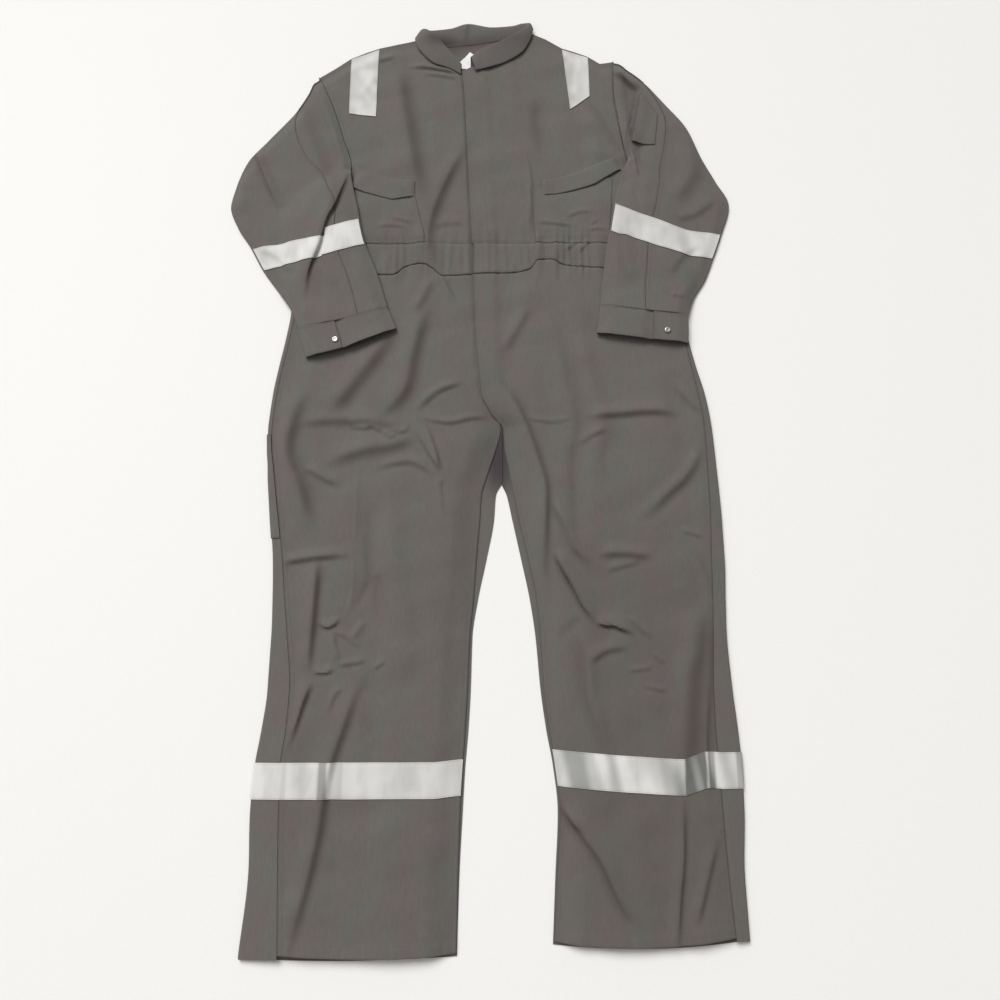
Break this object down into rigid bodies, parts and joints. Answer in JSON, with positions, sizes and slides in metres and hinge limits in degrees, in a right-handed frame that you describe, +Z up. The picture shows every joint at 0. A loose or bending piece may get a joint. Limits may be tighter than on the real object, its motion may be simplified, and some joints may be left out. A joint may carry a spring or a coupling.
{
  "type": "boiler suit",
  "caption": "Long-sleeved boiler suit laid flat on its back, with a fold-down collar, hidden front zip, chest pockets, elastic waist and reflective tape on shoulders, sleeves and legs.",
  "frame": {"origin": "middle of the laid suit's plan, on the surface that it lies on", "axes": "+X to the wearer's left, +Y from the hems to the collar, +Z up off the surface, out of the suit's front"},
  "size_m": [0.884, 1.5997, 0.0256],
  "materials": {
    "cloth": "grey cotton twill",
    "silver_tape": "silver glass-bead reflective tape",
    "label_satin": "plain white woven satin",
    "zip_tape": "dark woven zip tape",
    "snap_metal": "plain capped snap"
  },
  "bodies": {
    "root": {"back_bodice": "cloth", "back_casing": "cloth", "back_leg_l": "cloth", "back_leg_r": "cloth", "chest_pocket_l": "cloth", "chest_pocket_r": "cloth", "collar": "cloth", "cuff_l": "cloth", "cuff_r": "cloth", "front_bodice_l": "cloth", "front_bodice_r": "cloth", "front_casing_l": "cloth", "front_casing_r": "cloth", "front_leg_l": "cloth", "front_leg_r": "cloth", "pen_pocket": "cloth", "pocket_flap_l": "cloth", "pocket_flap_r": "cloth", "rule_pocket": "cloth", "under_sleeve_l": "cloth", "under_sleeve_r": "cloth", "upper_sleeve_l": "cloth", "upper_sleeve_r": "cloth", "leg_tape_l": "silver_tape", "leg_tape_r": "silver_tape", "shoulder_tape_l": "silver_tape", "shoulder_tape_r": "silver_tape", "sleeve_tape_l": "silver_tape", "sleeve_tape_r": "silver_tape", "neck_label": "label_satin", "front_zip": "zip_tape", "cuff_snap_l": "snap_metal", "cuff_snap_r": "snap_metal"}
  },
  "joints": []
}
